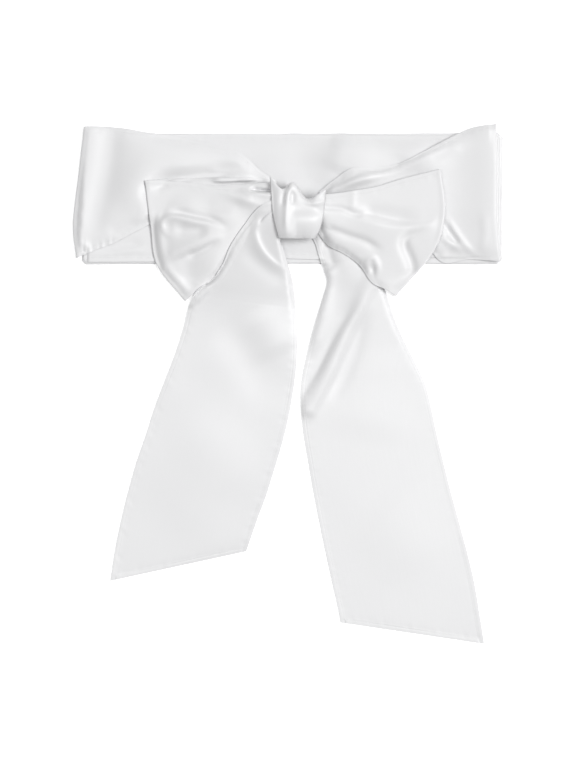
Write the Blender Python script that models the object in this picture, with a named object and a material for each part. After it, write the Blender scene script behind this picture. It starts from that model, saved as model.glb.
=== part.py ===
"""Satin sash wound into a flat waist band, tied in a bow and laid on its back.

Every length in this file is in millimetres, and link_object turns them into metres. +Z is up, +X is to
the right of the picture and +Y to its top. The origin is under the middle of the sash, on the floor.
"""

import bmesh
import bpy
import numpy as np

MM = 0.001
WALL = 1.2
SEAM = 0.35
LAYER_HEIGHT = 1.6
FOLD_SAMPLES = 28
KNOT_TOP = 31
KNOT_FOOT = 11
KNOT_SIDE_DROP = 5
KNOT_TUCK = 0.6
SATIN = {"color": (0.93, 0.93, 0.935, 1.0), "roughness": 0.34, "sheen": 0.25}

# Hidden layers of the waist band, lowest first: corners of each layer's outline.
BAND_LAYERS = [
    {"low_left": (-160, 93), "low_right": (167, 94.6), "top_right": (168, 194.5), "top_left": (-153, 195.5)},
    {"low_left": (-161, 93.6), "low_right": (164.5, 93.2), "top_right": (165.5, 195.8), "top_left": (-153, 194.8)},
    {"low_left": (-160, 94.4), "low_right": (165.8, 94.2), "top_right": (166.5, 194), "top_left": (-153, 195.2)},
]

# Plan of each stretch: a row for each cross line, with points from its upper edge to its lower edge.
PANEL_PLAN = [
    [(-152, 194), (-158, 96)],
    [(-95, 194.3), (-95, 96.2)],
    [(-35, 195), (-35, 98.5)],
    [(25, 194), (25, 97)],
    [(90, 193.4), (90, 98)],
    [(156, 193.5), (156, 100)],
]
FRONT_LEFT_PLAN = [
    [(-159, 200.5), (-163, 165), (-167.5, 125), (-165, 98)],
    [(-145, 200.5), (-148, 168), (-152, 132), (-151, 104)],
    [(-128, 199), (-130, 170), (-134, 138), (-135, 110)],
    [(-108, 195.7), (-111, 172), (-114, 145), (-117, 119.5)],
    [(-86, 192.7), (-90, 173), (-93, 152), (-96, 130)],
    [(-62, 188), (-66, 173), (-68, 157), (-70, 140)],
    [(-38, 181), (-42, 168), (-44, 156), (-45, 143)],
    [(-22, 167), (-24, 160), (-25, 152), (-26, 145)],
    [(-9, 158), (-9, 154), (-9, 150), (-9, 146)],
]
FRONT_RIGHT_PLAN = [
    [(162, 202.5), (163, 168), (163, 130), (165, 95.5)],
    [(142, 199), (141, 167), (141, 130), (141, 97)],
    [(122, 189.5), (122, 164), (122, 130), (121, 94.5)],
    [(104, 180), (105, 159), (107, 134), (108, 107)],
    [(86, 171.5), (88, 155), (90, 135), (92, 115)],
    [(68, 168.5), (70, 154), (72, 137), (74, 122)],
    [(50, 168), (52, 156), (54, 143), (56, 130)],
    [(36, 159), (37, 152), (38, 145), (39, 137)],
    [(24, 149.5), (24, 147.5), (24, 145), (24, 142)],
]
LOOP_LEFT_PLAN = [
    [(-9, 157), (-9, 149), (-9, 141), (-9, 133)],
    [(-24, 155.6), (-26, 146), (-26, 136), (-27, 125)],
    [(-41, 154.6), (-43, 138), (-43, 122), (-42, 106)],
    [(-58, 154.2), (-60, 132), (-59, 110), (-54, 88)],
    [(-76, 156.4), (-77, 129), (-76, 102), (-63, 79)],
    [(-94, 157.8), (-93, 128), (-90, 97), (-71, 72.5)],
    [(-111, 158), (-107, 125), (-102, 93), (-80, 64.5)],
]
LOOP_LEFT_BACK_PLAN = [
    [(-9, 159), (-9, 152), (-9, 145), (-9, 138)],
    [(-42, 160), (-43, 143), (-43, 126), (-42, 110)],
    [(-76, 160), (-77, 132), (-76, 105), (-63, 81)],
    [(-111, 158), (-107, 125), (-102, 93), (-80, 64.5)],
]
LOOP_RIGHT_PLAN = [
    [(24, 147), (25, 138), (25, 128), (23, 118)],
    [(38, 148), (38, 134), (36, 120), (31, 108)],
    [(54, 150.5), (54, 134), (52, 117), (44, 101)],
    [(70, 153.5), (71, 134), (68, 113), (56, 92)],
    [(86, 158.5), (88, 136), (85, 110), (65, 79)],
    [(103, 163), (106, 138), (101, 108), (75, 74)],
    [(118.5, 167), (122, 133), (113, 103), (84, 68.5)],
]
LOOP_RIGHT_BACK_PLAN = [
    [(24, 146), (25, 138), (25, 130), (24, 122)],
    [(54, 149), (54, 134), (52, 120), (46, 105)],
    [(86, 157), (88, 136), (85, 111), (67, 82)],
    [(118.5, 167), (122, 133), (113, 103), (84, 68.5)],
]
TAIL_LEFT_PLAN = [
    [(-8, 134), (-2, 117)],
    [(-24, 136), (-6, 112)],
    [(-35, 122), (-3, 103)],
    [(-45, 107), (0, 93)],
    [(-51, 93), (3, 83)],
    [(-60, 80.5), (5, 72)],
    [(-71, 73), (6, 62)],
    [(-77.5, 61), (7, 50)],
    [(-82, 43), (7.3, 32)],
    [(-88, 24), (6.5, 14)],
    [(-96, 3), (4, -6)],
    [(-104, -18), (0, -28)],
    [(-111, -40), (-5, -48)],
    [(-118.5, -62), (-11, -68)],
    [(-125, -85), (-17, -87)],
    [(-130.5, -108), (-24, -106)],
    [(-135, -130), (-29.5, -122)],
    [(-138.5, -153.5), (-32.5, -130.5)],
]
TAIL_RIGHT_PLAN = [
    [(16, 118), (25, 130)],
    [(21, 110), (36, 118)],
    [(24, 100), (48, 106)],
    [(27, 90), (58, 94)],
    [(30, 80), (68, 84)],
    [(27, 68), (76, 72.5)],
    [(22.5, 54), (82, 54)],
    [(18, 38), (89.5, 36)],
    [(14, 20), (98.5, 18)],
    [(10.5, 2), (106.5, 1)],
    [(9.8, -16), (111, -16)],
    [(12, -38), (115.5, -37)],
    [(16, -62), (121, -60)],
    [(20, -85), (127, -84)],
    [(24.5, -108), (133.5, -108)],
    [(29.5, -132), (140, -132)],
    [(34.5, -155), (145.5, -156)],
    [(39, -175), (149.5, -180)],
    [(41, -186), (153, -202.5)],
]
KNOT_PLAN = [
    [(-7, 113.5), (-1, 113), (5, 113), (12, 113), (21, 113)],
    [(-9.5, 122), (-2, 122), (5, 122), (14, 122), (25, 121)],
    [(-12, 134), (-3, 134), (5, 134), (15, 132), (27.5, 131)],
    [(-13, 147), (-4, 145), (4, 148), (14, 141), (28.5, 141)],
    [(-13.5, 158), (-5, 154), (4, 156), (15, 149), (29, 149)],
]


def fold(rise, width, path, far_width=None, start=0.0, end=0.0):
    """A row of a fold table: how far the cloth rises or dips along a path, and how wide it is on each side.

    start and end are the shares of the rise that are left at the two ends of the path.
    """
    return {"rise": rise, "near": width, "far": far_width or width, "start": start, "end": end, "path": path}


PANEL_FOLDS = [
    fold(-1.6, 14, [(-4, 170), (24, 174), (56, 176), (84, 180)], far_width=12),
    fold(0.9, 9, [(-14, 182), (-4, 178), (6, 182)]),
    fold(0.8, 7, [(100, 190), (94, 178), (88, 166)]),
]
FRONT_LEFT_FOLDS = [
    fold(1.8, 9, [(-156, 200), (-159.5, 165), (-163.5, 125), (-161, 100)], far_width=5, start=1.0, end=1.0),
    fold(-1.6, 13, [(-144, 206), (-147, 170), (-151, 132), (-152, 110)], far_width=7, start=1.0, end=0.4),
    fold(2.6, 15, [(-86, 180), (-104, 176), (-119, 162), (-121, 146), (-114, 130)], far_width=10, end=0.6),
    fold(-2.4, 9, [(-110, 147), (-100, 156), (-84, 160), (-62, 162), (-46, 164)], far_width=5),
]
FRONT_RIGHT_FOLDS = [
    fold(2.8, 4, [(156, 203), (158.5, 175), (158.5, 135), (159.5, 98)], far_width=20, start=1.0, end=0.7),
    fold(4.0, 6, [(30, 150), (60, 161), (85, 169), (112, 181), (135, 194)], far_width=5, start=0.5),
    fold(1.8, 7, [(98, 167), (115, 171), (127, 181), (142, 194)]),
    fold(1.6, 5, [(121, 134), (129, 120), (137, 109), (144, 102), (150, 99)]),
    fold(2.0, 5, [(32, 153), (44, 164), (58, 168), (74, 167)], start=0.5),
]
LOOP_LEFT_FOLDS = [
    fold(1.6, 5, [(-50, 122), (-64, 127), (-80, 131), (-95, 131), (-100, 125), (-97, 118), (-88, 113.5)]),
    fold(2.4, 5, [(-46, 118), (-62, 111), (-78, 103.5), (-90, 98.5), (-97, 90), (-93, 81)], far_width=9),
    fold(-2.0, 7, [(-58, 136), (-42, 138), (-27, 133)]),
    fold(1.4, 5, [(-84, 156), (-68, 152), (-52, 149.5), (-36, 144), (-22, 139), (-13, 140)], end=1.0),
    fold(-1.8, 13, [(-79, 101), (-76, 88), (-71, 75)], far_width=5),
]
LOOP_RIGHT_FOLDS = [
    fold(1.2, 5, [(44, 130), (62, 125), (80, 121.5), (96, 121.5), (110, 124), (118, 131)], far_width=12),
    fold(-1.6, 7, [(52, 134), (68, 132), (84, 128.5), (104, 126)], far_width=5),
    fold(-1.4, 5, [(34, 120), (48, 115), (62, 110), (75, 101)], start=1.0),
    fold(-1.8, 5, [(114, 122), (102, 118), (93, 114), (91, 108), (96, 96), (97, 88), (90, 83), (72, 77)]),
    fold(-3.0, 6, [(22, 124), (24, 118), (26, 112)], start=1.0, end=1.0),
]
TAIL_LEFT_FOLDS = [
    fold(1.0, 34, [(-30, 116), (-32, 92), (-36, 60)], start=1.0, end=1.0),
    fold(2.6, 5, [(-12, 134), (-24, 122), (-24, 112), (-18, 101), (-8, 92), (3, 88)], far_width=7, start=1.0),
    fold(-1.5, 8, [(-34, 112), (-24, 98), (-10, 86), (4, 80)]),
    fold(-1.3, 16, [(-58, 52), (-40, 36), (-24, 10), (-5, -20)]),
    fold(1.3, 18, [(-26, 60), (-14, 40), (-4, 20)]),
]
TAIL_RIGHT_FOLDS = [
    fold(2.4, 6, [(66, 80), (54, 55), (46, 40), (39, 24), (30, 4), (17, -20)], far_width=9, start=0.8, end=0.6),
    fold(-0.9, 5, [(60, 74), (48, 54), (36, 33), (25, 13), (14, -4)], far_width=7, end=0.6),
    fold(-0.8, 7, [(64, 62), (56, 44), (50, 24), (42, 4), (32, -18)], far_width=10),
    fold(1.4, 6, [(32, 84), (27, 50), (17, 18)], start=1.0),
]
KNOT_FOLDS = [
    fold(2.6, 3, [(-1, 117), (-1.7, 126), (-1.2, 136), (0, 145), (2, 152)], start=1.0, end=1.0),
    fold(2.0, 3, [(3, 152), (7, 150), (11, 145), (15, 141), (22, 140), (29, 141)], start=1.0, end=1.0),
    fold(-2.4, 3, [(3, 150), (3.5, 144), (3, 138)]),
    fold(-2.2, 3, [(-3, 150), (-4, 143), (-4, 137)], start=1.0),
    fold(-1.6, 4, [(3, 136), (12, 135.5), (28, 135)], end=1.0),
]


def spline(points, where):
    """A smooth curve through equally spaced points, read at each share from 0 to 1 of its length."""
    points = np.asarray(points, float)
    ends = 2 * points[0] - points[1], 2 * points[-1] - points[-2]
    padded = np.concatenate([[ends[0]], points, [ends[1]]])
    place = np.asarray(where, float) * (len(points) - 1)
    first = np.clip(place.astype(int), 0, len(points) - 2)
    share = (place - first).reshape((-1,) + (1,) * (points.ndim - 1))
    a, b, c, d = (padded[first + step] for step in range(4))
    cubic = (2 * a - 5 * b + 4 * c - d) * share**2 + (3 * b - 3 * c + d - a) * share**3
    return 0.5 * (2 * b + (c - a) * share + cubic)


def plan_points(plan, along, across):
    """X and Y of a stretch, one row for each share along it and one column for each share across it."""
    rows = spline(plan, along)
    points = spline(rows.swapaxes(0, 1), across).swapaxes(0, 1)
    return points[..., 0], points[..., 1]


def smooth_step(value):
    value = np.clip(value, 0, 1)
    return value * value * (3 - 2 * value)


def resting(height, softness=1.0):
    """Height above what the cloth lies on: never below zero, and rounded where it lifts off."""
    blend = (np.clip(height, -softness, softness) + softness) ** 2 / (4 * softness)
    return np.where(height > softness, height, blend)


def relief(x, y, folds):
    """Sum of the folds' heights at each point."""
    total = np.zeros_like(x)
    for row in folds:
        line = spline(row["path"], np.linspace(0, 1, FOLD_SAMPLES))
        start, step = line[:-1], np.diff(line, axis=0)
        off_x, off_y = x[..., None] - start[:, 0], y[..., None] - start[:, 1]
        share = (off_x * step[:, 0] + off_y * step[:, 1]) / (step**2).sum(1)
        share = np.clip(share, 0, 1)
        away_x, away_y = off_x - share * step[:, 0], off_y - share * step[:, 1]
        distance = np.hypot(away_x, away_y)
        nearest = distance.argmin(-1)[..., None]
        side = np.take_along_axis(step[:, 0] * away_y - step[:, 1] * away_x, nearest, -1)[..., 0]
        along = (nearest + np.take_along_axis(share, nearest, -1))[..., 0] / len(step)
        distance = np.take_along_axis(distance, nearest, -1)[..., 0]
        width = np.where(side > 0, row["near"], row["far"])
        fade_in = row["start"] + (1 - row["start"]) * smooth_step(along / 0.3)
        fade_out = row["end"] + (1 - row["end"]) * smooth_step((1 - along) / 0.3)
        total += row["rise"] * fade_in * fade_out * np.exp(-((distance / width) ** 2))
    return total


class Ground:
    """Height of the floor and of all the cloth laid so far, on a square grid."""

    STEP = 1.5
    LOW = np.array([-190.0, -225.0])
    CELLS = (254, 304)

    def __init__(self):
        self.top = np.full(self.CELLS, -SEAM)

    def cell(self, x, y):
        return (x - self.LOW[0]) / self.STEP, (y - self.LOW[1]) / self.STEP

    def add(self, x, y, z):
        """Raises the ground to the upper side of a sheet, filled in between its points."""
        x, y, z = (refined(values, 6) for values in (x, y, z))
        column, row = (np.round(values).astype(int) for values in self.cell(x, y))
        np.maximum.at(self.top, (column, row), z + WALL / 2)

    def under(self, x, y, reach, blur):
        """Ground blurred over a distance, that is still nowhere below the cloth within that reach."""
        half = int(round(blur / 3 / self.STEP))
        cells = int(np.ceil(reach / self.STEP)) + 3 * half
        steps = range(-cells, cells + 1)
        height = self.top
        for axis in (0, 1):
            height = np.max([np.roll(height, shift, axis) for shift in steps], axis=0)
        for _ in range(3):
            for axis in (0, 1):
                height = np.mean([np.roll(height, shift, axis) for shift in range(-half, half + 1)], axis=0)
        column, row = self.cell(x, y)
        left, low = np.floor(column).astype(int), np.floor(row).astype(int)
        right_share, top_share = column - left, row - low
        lower = height[left, low] * (1 - right_share) + height[left + 1, low] * right_share
        upper = height[left, low + 1] * (1 - right_share) + height[left + 1, low + 1] * right_share
        return lower * (1 - top_share) + upper * top_share


def refined(values, times):
    """The grid of values with straight lines of new points between its own."""
    for _ in range(2):
        place = np.linspace(0, len(values) - 1, (len(values) - 1) * times + 1)
        first = np.clip(place.astype(int), 0, len(values) - 2)
        share = (place - first)[:, None]
        values = (values[first] * (1 - share) + values[first + 1] * share).T
    return values


def satin_material(name):
    material = bpy.data.materials.new(name)
    material.use_nodes = True
    shader = material.node_tree.nodes["Principled BSDF"]
    shader.inputs["Base Color"].default_value = SATIN["color"]
    shader.inputs["Roughness"].default_value = SATIN["roughness"]
    shader.inputs["Sheen Weight"].default_value = SATIN["sheen"]
    shader.inputs["Metallic"].default_value = 0.0
    return material


def link_object(name, mesh_data):
    """Links a bmesh, written in millimetres, as one smooth shaded object in metres."""
    mesh = bpy.data.meshes.new(name)
    bmesh.ops.scale(mesh_data, vec=(MM, MM, MM), verts=mesh_data.verts)
    mesh_data.to_mesh(mesh)
    mesh_data.free()
    mesh.shade_smooth()
    mesh.materials.append(satin_material(name))
    piece = bpy.data.objects.new(name, mesh)
    bpy.context.collection.objects.link(piece)
    return piece


def cloth_sheet(name, x, y, z, turn_over=False):
    """A wall of cloth with its middle on a grid of points, rows along the stretch and columns across it."""
    rows, columns = x.shape
    sheet = bmesh.new()
    bmesh.ops.create_grid(sheet, x_segments=columns - 1, y_segments=rows - 1, size=1)
    sheet.verts.ensure_lookup_table()
    for vert, place in zip(sheet.verts, np.stack([x, y, z], -1).reshape(-1, 3)):
        vert.co = place
    if turn_over:
        bmesh.ops.reverse_faces(sheet, faces=sheet.faces)
    piece = link_object(name, sheet)
    wall = piece.modifiers.new("wall", "SOLIDIFY")
    wall.thickness = WALL * MM
    wall.offset = 0
    wall.use_rim = True
    return piece


def band_outline(layer, inset):
    """Closed outline of one layer of the waist band, moved in by inset, with its corners cut round."""
    corners = np.array([layer[key] for key in ("low_left", "low_right", "top_right", "top_left")], float)
    inward = np.array([(1, 1), (-1, 1), (-1, -1), (1, -1)])
    corners = corners + inward * inset
    points = []
    for index, count in enumerate((18, 6, 18, 6)):
        start, end = corners[index], corners[(index + 1) % 4]
        share = np.linspace(0, 1, count, endpoint=False) + 0.5 / count
        points.append(start + (end - start) * share[:, None])
    return np.concatenate(points)


def build_band_layers(ground):
    """The layers that the others hide, as one solid with a lip for each layer."""
    lips = [(0.12, 0.8), (0.45, 0.0), (0.75, 0.0), (1.0, 0.9)]
    rings = [(0.0, band_outline(BAND_LAYERS[0], 1.2))]
    for index, layer in enumerate(BAND_LAYERS):
        for share, inset in lips:
            rings.append(((index + share) * LAYER_HEIGHT, band_outline(layer, inset)))
    solid = bmesh.new()
    height, outline = rings[0]
    base = [solid.verts.new((px, py, height)) for px, py in outline]
    lid = solid.faces.new(base)
    for height, outline in rings[1:]:
        grown = bmesh.ops.extrude_face_region(solid, geom=[lid])
        old_lid, lid = lid, next(item for item in grown["geom"] if isinstance(item, bmesh.types.BMFace))
        if height > rings[1][0]:
            bmesh.ops.delete(solid, geom=[old_lid], context="FACES_ONLY")
        for vert, (px, py) in zip(lid.verts, outline):
            vert.co = (px, py, height)
    bmesh.ops.recalc_face_normals(solid, faces=solid.faces)
    link_object("waist_layers", solid)
    span_x, span_y = np.meshgrid(np.linspace(-156, 166, 200), np.linspace(94, 195, 80), indexing="ij")
    ground.add(span_x, span_y, np.full_like(span_x, height - WALL / 2))


def build_single(name, ground, plan, folds, lift, rooms, counts):
    """A stretch that lies as one layer on whatever is under it.

    lift is its slack from end to end, and rooms are the reach and blur of the ground at its start and further on.
    """
    along, across = (np.linspace(0, 1, count) for count in counts)
    x, y = plan_points(plan, along, across)
    raised = spline(lift, along)[:, None] + relief(x, y, folds)
    further = smooth_step(along / 0.3)[:, None]
    below = ground.under(x, y, *rooms[0]) * (1 - further) + ground.under(x, y, *rooms[1]) * further
    z = below + SEAM + WALL / 2 + resting(raised)
    cloth_sheet(name, x, y, z)
    ground.add(x, y, z)


def round_turn(outer, upper, lower, count):
    """Points of the round fold that joins an upper and a lower layer, from the lower one to the upper one."""
    middle, half = (upper + lower) / 2, (upper - lower) / 2
    bulge = outer - middle
    bulge[..., 2] = 0
    turn = np.linspace(0, np.pi, count + 2)[1:-1, None, None]
    return middle - half * np.cos(turn) + bulge * np.sin(turn)


def build_front(name, ground, plan, folds, lift, room, counts, foot):
    """A front stretch: it turns over its end fold and runs to the knot. foot is the height under the fold."""
    turn_share = 0.03
    along = np.concatenate([[0], np.linspace(turn_share, 1, counts[0])])
    x, y = plan_points(plan, along, np.linspace(0, 1, counts[1]))
    z = ground.under(x, y, *room) + SEAM + WALL / 2 + resting(lift + relief(x, y, folds))
    points = np.stack([x, y, z], -1)
    tucked = points[1].copy()
    tucked[:, 2] = foot + WALL / 2
    turn = round_turn(points[:1], points[1:2], tucked[None], 5)
    points = np.concatenate([tucked[None], turn, points[1:]])
    cloth_sheet(name, *np.moveaxis(points, -1, 0))
    ground.add(*np.moveaxis(points, -1, 0))


def build_loop(name, ground, plans, folds, puff, counts):
    """A bow loop: a back layer, the round fold at its outer end and a front layer, in one wall."""
    front_plan, back_plan = plans
    turn_share = 0.93
    across = np.linspace(0, 1, counts[2])
    back_x, back_y = plan_points(back_plan, np.linspace(0, turn_share, counts[0]), across)
    back_z = ground.under(back_x, back_y, 8, 5) + SEAM + WALL / 2
    share = np.append(np.linspace(0, turn_share, counts[1]), 1.0)
    front_x, front_y = plan_points(front_plan, share, across)
    room = spline(puff["along"], share)[:, None] * spline(puff["across"], across)[None, :]
    floor_z = ground.under(front_x, front_y, 8, 5) + SEAM + WALL / 2
    front_z = floor_z + 2.2 * WALL + resting(room + relief(front_x, front_y, folds))
    back = np.stack([back_x, back_y, back_z], -1)
    front = np.stack([front_x, front_y, front_z], -1)
    turn = round_turn(front[-1:], front[-2:-1], back[-1:], 4)
    points = np.concatenate([back, turn, front[-2::-1]])
    cloth_sheet(name, *np.moveaxis(points, -1, 0))
    ground.add(*np.moveaxis(points, -1, 0))


def build_knot(ground, counts):
    """The knot: a wrap that arches over the gathered ends, as one solid with the layers that it hides."""
    turn = np.linspace(-KNOT_TUCK, np.pi + KNOT_TUCK, counts[0])
    across = np.linspace(0, 1, counts[1])
    x, y = plan_points(KNOT_PLAN, (1 - np.cos(turn)) / 2, across)
    foot = np.maximum(ground.under(x, y, 2, 0) + SEAM + WALL, KNOT_FOOT)
    arch = (np.sin(turn) + np.sin(KNOT_TUCK)) / (1 + np.sin(KNOT_TUCK))
    crest = KNOT_TOP - KNOT_SIDE_DROP * np.abs(2 * across - 1) ** 3 + relief(x, y, KNOT_FOLDS)
    top_z = foot + resting(crest - foot) * arch[:, None] ** 0.7
    tuck = (1 - np.cos(KNOT_TUCK)) / 2
    base_x, base_y = plan_points(KNOT_PLAN, np.linspace(tuck, 1 - tuck, counts[0]), across)
    base_z = ground.under(base_x, base_y, 2.5, 0) + SEAM
    solid = bmesh.new()
    for grid in (np.stack([x, y, top_z], -1), np.stack([base_x, base_y, base_z], -1)):
        bmesh.ops.create_grid(solid, x_segments=counts[1] - 1, y_segments=counts[0] - 1, size=1)
        solid.verts.ensure_lookup_table()
        for vert, place in zip(solid.verts[-x.size:], grid.reshape(-1, 3)):
            vert.co = place
    bmesh.ops.bridge_loops(solid, edges=[edge for edge in solid.edges if edge.is_boundary])
    bmesh.ops.recalc_face_normals(solid, faces=solid.faces)
    link_object("knot", solid)


def build():
    for old in list(bpy.data.objects):
        bpy.data.objects.remove(old)
    ground = Ground()
    build_band_layers(ground)
    band_top = LAYER_HEIGHT * len(BAND_LAYERS)
    panel_lift = [0.3, 1.0, 1.4, 1.4, 1.0, 0.3]
    build_single("waist_panel", ground, PANEL_PLAN, PANEL_FOLDS, panel_lift, [(4, 3), (4, 3)], (27, 9))
    build_front("front_left", ground, FRONT_LEFT_PLAN, FRONT_LEFT_FOLDS, 1.8, (5, 3), (26, 15), 0.0)
    build_front("front_right", ground, FRONT_RIGHT_PLAN, FRONT_RIGHT_FOLDS, 1.6, (5, 3), (26, 15), band_top + SEAM)
    tail_lift = [-1.5, 0.5, 1.0, 0.4, -1.0, -1.0, -1.0]
    tail_rooms = [(5, 4), (5, 20)]
    build_single("tail_right", ground, TAIL_RIGHT_PLAN, TAIL_RIGHT_FOLDS, tail_lift, tail_rooms, (38, 17))
    puff_left = {"along": [6, 8, 9, 9, 4], "across": [0.8, 1, 0.75, 0.3]}
    build_loop("loop_left", ground, (LOOP_LEFT_PLAN, LOOP_LEFT_BACK_PLAN), LOOP_LEFT_FOLDS, puff_left, (8, 22, 14))
    puff_right = {"along": [6.5, 8, 9, 9.5, 4.5], "across": [0.9, 1, 0.95, 0.6]}
    build_loop("loop_right", ground, (LOOP_RIGHT_PLAN, LOOP_RIGHT_BACK_PLAN), LOOP_RIGHT_FOLDS, puff_right, (8, 22, 14))
    build_single("tail_left", ground, TAIL_LEFT_PLAN, TAIL_LEFT_FOLDS, tail_lift, tail_rooms, (38, 17))
    build_knot(ground, (19, 17))


build()
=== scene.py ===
import math
import bmesh
import bpy
import numpy as np
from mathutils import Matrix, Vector


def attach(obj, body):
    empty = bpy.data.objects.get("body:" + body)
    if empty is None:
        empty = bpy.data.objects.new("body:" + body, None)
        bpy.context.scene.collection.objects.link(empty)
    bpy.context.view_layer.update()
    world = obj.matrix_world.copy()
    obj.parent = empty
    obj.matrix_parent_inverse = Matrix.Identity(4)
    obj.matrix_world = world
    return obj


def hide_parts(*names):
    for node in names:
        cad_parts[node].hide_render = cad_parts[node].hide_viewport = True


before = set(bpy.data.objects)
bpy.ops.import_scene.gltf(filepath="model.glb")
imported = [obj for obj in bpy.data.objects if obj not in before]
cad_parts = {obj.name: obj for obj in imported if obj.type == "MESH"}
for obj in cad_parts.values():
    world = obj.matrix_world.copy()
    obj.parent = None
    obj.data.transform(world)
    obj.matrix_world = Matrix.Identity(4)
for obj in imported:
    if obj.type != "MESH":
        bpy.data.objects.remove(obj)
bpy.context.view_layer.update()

# Lengths are in millimetres until a mesh is made of them, in metres.
cloth = {"thick": 0.55, "gap": 0.14, "fine": 1.45, "clear": 0.15, "overFloor": 0.02}
hem = {
    "wide": 3.9, "rise": 0.24, "dimple": 0.24, "draw": 0.1, "waves": (6.3, 9.1, 14.7),
    # the grid's columns in a hem, and where the even ones begin
    "columns": (0, 0.2, 0.6, 1.1, 1.9, 2.7, 3.3, 3.7, 4.1, 4.7, 5.6), "even": 6.9,
    "sideShare": 0.9, "endShare": 0.8, "endReach": 4,
}
creaseForm = {"steps": 9, "reach": 3.2, "fade": 0.3}
groundGrid = {"step": 1.0, "low": (-190.0, -225.0), "cells": (382, 458)}


def splineAt(points, where):
    points = np.asarray(points, float)
    padded = np.concatenate([[2 * points[0] - points[1]], points, [2 * points[-1] - points[-2]]])
    place = np.asarray(where, float) * (len(points) - 1)
    first = np.clip(place.astype(int), 0, len(points) - 2)
    share = (place - first).reshape((-1,) + (1,) * (points.ndim - 1))
    a, b, c, d = (padded[first + k] for k in range(4))
    return 0.5 * (
        2 * b + (c - a) * share + (2 * a - 5 * b + 4 * c - d) * share**2 + (3 * b - 3 * c + d - a) * share**3
    )


def planAt(plan, along, across):
    rows = splineAt(plan, along)
    points = splineAt(rows.swapaxes(0, 1), across).swapaxes(0, 1)
    return points[..., 0], points[..., 1]


def bedAt(bed, along, across):
    return splineAt(splineAt(bed, along).T, across).T


def ease(value):
    value = np.clip(value, 0, 1)
    return value * value * (3 - 2 * value)


def liftOff(height, softness=0.8):
    blend = (np.clip(height, -softness, softness) + softness) ** 2 / (4 * softness)
    return np.where(height > softness, height, blend)


def crease(rise, width, path, far=None, start=0.0, end=0.0, crisp=0.0):
    # width is on the left of the path and far on its right, start and end are the shares left at its ends
    return {
        "rise": rise, "near": width, "far": far or width, "start": start, "end": end,
        "power": 2 - crisp, "path": path,
    }


def reliefAt(x, y, rows):
    total = np.zeros_like(x)
    for row in rows:
        line = splineAt(row["path"], np.linspace(0, 1, creaseForm["steps"] * len(row["path"])))
        reach = creaseForm["reach"] * max(row["near"], row["far"])
        low, high = line.min(0) - reach, line.max(0) + reach
        inside = (x > low[0]) & (x < high[0]) & (y > low[1]) & (y < high[1])
        if not inside.any():
            continue
        px, py = x[inside][:, None], y[inside][:, None]
        begin, step = line[:-1], np.diff(line, axis=0)
        forward = (px - begin[:, 0]) * step[:, 0] + (py - begin[:, 1]) * step[:, 1]
        share = np.clip(forward / (step**2).sum(1), 0, 1)
        awayX, awayY = px - begin[:, 0] - share * step[:, 0], py - begin[:, 1] - share * step[:, 1]
        distance = np.hypot(awayX, awayY)
        near = distance.argmin(1)[:, None]
        side = np.take_along_axis(step[:, 0] * awayY - step[:, 1] * awayX, near, 1)[:, 0]
        at = (near + np.take_along_axis(share, near, 1))[:, 0] / len(step)
        distance = np.take_along_axis(distance, near, 1)[:, 0]
        width = np.where(side > 0, row["near"], row["far"])
        fadeIn = row["start"] + (1 - row["start"]) * ease(at / creaseForm["fade"])
        fadeOut = row["end"] + (1 - row["end"]) * ease((1 - at) / creaseForm["fade"])
        fade = fadeIn * fadeOut
        total[inside] += row["rise"] * fade * np.exp(-((distance / width) ** row["power"]))
    return total


def unevenness(x, y, seed, amount, size):
    # soft rise and fall of cloth that isn't quite flat, the same on each run
    pick = np.random.default_rng(seed)
    total = np.zeros_like(x)
    for _ in range(7):
        turn, phase = pick.uniform(0, math.tau, 2)
        length = size * pick.uniform(0.6, 1.7)
        bend = 0.6 * np.sin((x * math.sin(turn) - y * math.cos(turn)) / length * 1.7 + phase * 2)
        total += np.sin((x * math.cos(turn) + y * math.sin(turn)) / length * math.tau + phase + bend)
    return amount * total / 2.6


class Ground:
    # height of the floor and of the cloth laid so far
    def __init__(self):
        self.top = np.full(groundGrid["cells"], -cloth["gap"])

    def cell(self, x, y):
        step, low = groundGrid["step"], groundGrid["low"]
        return (x - low[0]) / step, (y - low[1]) / step

    def add(self, x, y, z):
        for _ in range(2):
            place = np.linspace(0, len(x) - 1, (len(x) - 1) * 3 + 1)
            first = np.clip(place.astype(int), 0, len(x) - 2)
            share = (place - first)[:, None]
            x, y, z = ((v[first] * (1 - share) + v[first + 1] * share).T for v in (x, y, z))
        column, row = (np.round(v).astype(int) for v in self.cell(x, y))
        np.maximum.at(self.top, (column, row), z + cloth["thick"] / 2)

    def under(self, x, y, reach, blur):
        half = int(round(blur / 3 / groundGrid["step"]))
        cells = int(math.ceil(reach / groundGrid["step"])) + 3 * half
        height = self.top
        for axis in (0, 1):
            height = np.max([np.roll(height, k, axis) for k in range(-cells, cells + 1)], axis=0)
        for _ in range(3):
            for axis in (0, 1):
                height = np.mean([np.roll(height, k, axis) for k in range(-half, half + 1)], axis=0)
        column, row = self.cell(x, y)
        left, low = np.floor(column).astype(int), np.floor(row).astype(int)
        over, up = column - left, row - low
        lower = height[left, low] * (1 - over) + height[left + 1, low] * over
        upper = height[left, low + 1] * (1 - over) + height[left + 1, low + 1] * over
        return lower * (1 - up) + upper * up


def sharesAcross(width):
    # even steps, closer together in the hems
    step = cloth["fine"] / width
    edge, even = np.array(hem["columns"]) / width, hem["even"] / width
    middle = np.linspace(even, 1 - even, max(3, int(round((1 - 2 * even) / step)) + 1))
    return np.concatenate([edge, middle, 1 - edge[::-1]])


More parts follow.
